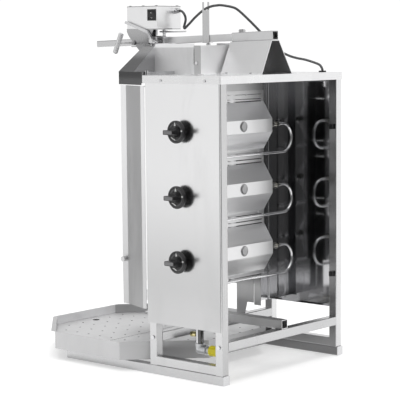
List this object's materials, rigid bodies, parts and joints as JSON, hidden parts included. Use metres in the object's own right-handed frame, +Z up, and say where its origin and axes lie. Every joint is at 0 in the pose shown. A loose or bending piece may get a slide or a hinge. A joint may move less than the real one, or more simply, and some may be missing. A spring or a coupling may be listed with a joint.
{
  "type": "vertical gas spit grill",
  "caption": "Free-standing vertical gas grill: burners stacked behind a motor-driven spit, knobs on one side panel, hinged wings, a sliding drip tray and a top-mounted sliding arm.",
  "frame": {"origin": "centre of the footprint (tray front to skid ends, tray side to knob faces), on the ground under the skids", "axes": "+Z up, +X towards the control knobs, -Y towards the operator and the spit, +Y the open rear"},
  "size_m": [0.6132, 0.7702, 1.0036],
  "materials": {
    "stainless_tube": "satin",
    "stainless_sheet": "fine brushed",
    "stainless_mirror": "bright rolled sheet, mirror-like",
    "zinc_fastener": "bright",
    "black_plastic": "satin black",
    "brass": "pale nickel-plated brass",
    "cast_alloy": "as cast",
    "ceramic": "matt ceramic",
    "yellow_cap": "moulded",
    "cable_rubber": "smooth"
  },
  "bodies": {
    "frame": {"skids": "stainless_tube", "skid_end_caps": "stainless_tube", "side_frames": "stainless_tube", "cross_rails": "stainless_tube", "frame_screws": "zinc_fastener", "knob_panel": "stainless_sheet", "left_side_panel": "stainless_mirror", "inner_shields": "stainless_mirror", "lid": "stainless_sheet", "visor": "stainless_mirror", "heat_hood": "stainless_mirror", "hood_plates": "stainless_sheet", "sleeve_bracket": "stainless_sheet", "arm_sleeve": "stainless_tube", "motor_cable": "cable_rubber", "lid_grommet": "black_plastic", "arm_saddle": "stainless_tube", "burner_rack": "stainless_sheet", "burner_housings": "stainless_sheet", "ceramic_plaques": "ceramic", "burner_grilles": "stainless_sheet", "burner_fittings": "brass", "gas_tubes": "zinc_fastener", "gas_valves": "brass", "gas_manifold": "zinc_fastener", "inlet_pipe": "cast_alloy", "wing_hinge_pins": "zinc_fastener", "rear_clips": "black_plastic"},
    "spit_arm": {"upper_arm": "stainless_tube", "cable_post": "stainless_tube", "arm_fasteners": "zinc_fastener", "pull_handle": "stainless_tube", "motor_bracket": "stainless_sheet", "motor_box": "stainless_sheet", "motor_box_cover": "stainless_sheet", "gear_motor": "cast_alloy", "switch_bezel": "black_plastic", "cable_gland": "zinc_fastener"},
    "spit_drive": {"drive_coupling": "zinc_fastener", "spit": "zinc_fastener", "meat_disc": "stainless_sheet"},
    "rocker": {"switch_rocker": "black_plastic"},
    "lever": {"lock_lever": "zinc_fastener"},
    "tee": {"tee_screw": "zinc_fastener"},
    "wing_nut_body": {"wing_nut": "zinc_fastener"},
    "sleeve_clamp_bolt": {"sleeve_bolt": "zinc_fastener"},
    "foot_arm": {"lower_arm": "stainless_tube", "lower_bearing": "cast_alloy"},
    "tray": {"drip_tray": "stainless_sheet"},
    "front_plate": {"front_drip_plate": "stainless_sheet"},
    "rear_plate": {"rear_drip_plate": "stainless_sheet"},
    "stem_top_body": {"stem_top": "zinc_fastener"},
    "stem_middle_body": {"stem_middle": "zinc_fastener"},
    "stem_bottom_body": {"stem_bottom": "zinc_fastener"},
    "knob_top_body": {"knob_top": "black_plastic"},
    "knob_middle_body": {"knob_middle": "black_plastic"},
    "knob_bottom_body": {"knob_bottom": "black_plastic"},
    "right_wing": {"wing_right": "stainless_sheet"},
    "left_wing": {"wing_left": "stainless_sheet"},
    "cap": {"inlet_cap": "yellow_cap"}
  },
  "joints": [
    {"name": "arm_slide", "type": "slide", "parent": "frame", "child": "spit_arm", "axis": [0, -0.9995, -0.0305], "range_m": [-0.03, 0.06], "deforming": ["motor_cable"]},
    {"name": "foot_arm_slide", "type": "slide", "parent": "frame", "child": "foot_arm", "axis": [0, -1, 0], "range_m": [-0.0305, 0.0605]},
    {"name": "spit_spin", "type": "hinge", "parent": "spit_arm", "child": "spit_drive", "pos_m": [-0.0086, -0.0911, 0.868], "axis": [0, 0, 1], "continuous": true},
    {"name": "switch_rock", "type": "hinge", "parent": "spit_arm", "child": "rocker", "pos_m": [0.0384, -0.0526, 0.9705], "axis": [0, -1, 0], "range_deg": [0, 14]},
    {"name": "lock_lever_turn", "type": "hinge", "parent": "spit_arm", "child": "lever", "pos_m": [0.0474, -0.0461, 0.897], "axis": [1, 0, 0], "range_deg": [-15, 25]},
    {"name": "tee_screw_turn", "type": "hinge", "parent": "spit_arm", "child": "tee", "pos_m": [0.0514, -0.1231, 0.892], "axis": [1, 0, 0], "range_deg": [0, 360]},
    {"name": "wing_nut_turn", "type": "hinge", "parent": "spit_arm", "child": "wing_nut_body", "pos_m": [-0.0086, -0.0471, 0.923], "axis": [0, 1, 0], "range_deg": [0, 360]},
    {"name": "sleeve_bolt_turn", "type": "hinge", "parent": "frame", "child": "sleeve_clamp_bolt", "pos_m": [-0.0086, 0.23707, 0.92247], "axis": [0, -0.0305, 0.9995], "range_deg": [0, 360]},
    {"name": "right_wing_swing", "type": "hinge", "parent": "frame", "child": "right_wing", "pos_m": [0.2434, 0.1129, 0.45], "axis": [0, 0, 1], "range_deg": [-60, 25]},
    {"name": "left_wing_swing", "type": "hinge", "parent": "frame", "child": "left_wing", "pos_m": [-0.2606, 0.1129, 0.45], "axis": [0, 0, -1], "range_deg": [-60, 25]},
    {"name": "tray_slide", "type": "slide", "parent": "frame", "child": "tray", "axis": [0, -1, 0], "range_m": [0, 0.11]},
    {"name": "front_plate_lift", "type": "slide", "parent": "tray", "child": "front_plate", "axis": [0, 0, 1], "range_m": [0, 0.05]},
    {"name": "rear_plate_lift", "type": "slide", "parent": "tray", "child": "rear_plate", "axis": [0, 0, 1], "range_m": [0, 0.03]},
    {"name": "inlet_cap_pull", "type": "slide", "parent": "frame", "child": "cap", "axis": [0, 1, 0], "range_m": [0, 0.03]},
    {"name": "valve_push_top", "type": "slide", "parent": "frame", "child": "stem_top_body", "axis": [-1, 0, 0], "range_m": [0, 0.004], "stiffness_N_per_m": 600, "springref_m": -0.002},
    {"name": "knob_turn_top", "type": "hinge", "parent": "stem_top_body", "child": "knob_top_body", "pos_m": [0.2764, 0.2434, 0.66], "axis": [1, 0, 0], "range_deg": [0, 180]},
    {"name": "valve_push_middle", "type": "slide", "parent": "frame", "child": "stem_middle_body", "axis": [-1, 0, 0], "range_m": [0, 0.004], "stiffness_N_per_m": 600, "springref_m": -0.002},
    {"name": "knob_turn_middle", "type": "hinge", "parent": "stem_middle_body", "child": "knob_middle_body", "pos_m": [0.2764, 0.2434, 0.488], "axis": [1, 0, 0], "range_deg": [0, 180]},
    {"name": "valve_push_bottom", "type": "slide", "parent": "frame", "child": "stem_bottom_body", "axis": [-1, 0, 0], "range_m": [0, 0.004], "stiffness_N_per_m": 600, "springref_m": -0.002},
    {"name": "knob_turn_bottom", "type": "hinge", "parent": "stem_bottom_body", "child": "knob_bottom_body", "pos_m": [0.2764, 0.2434, 0.316], "axis": [1, 0, 0], "range_deg": [0, 180]}
  ],
  "couplings": [
    {"joint": "foot_arm_slide", "follows": "arm_slide", "ratio": 0.99953}
  ]
}
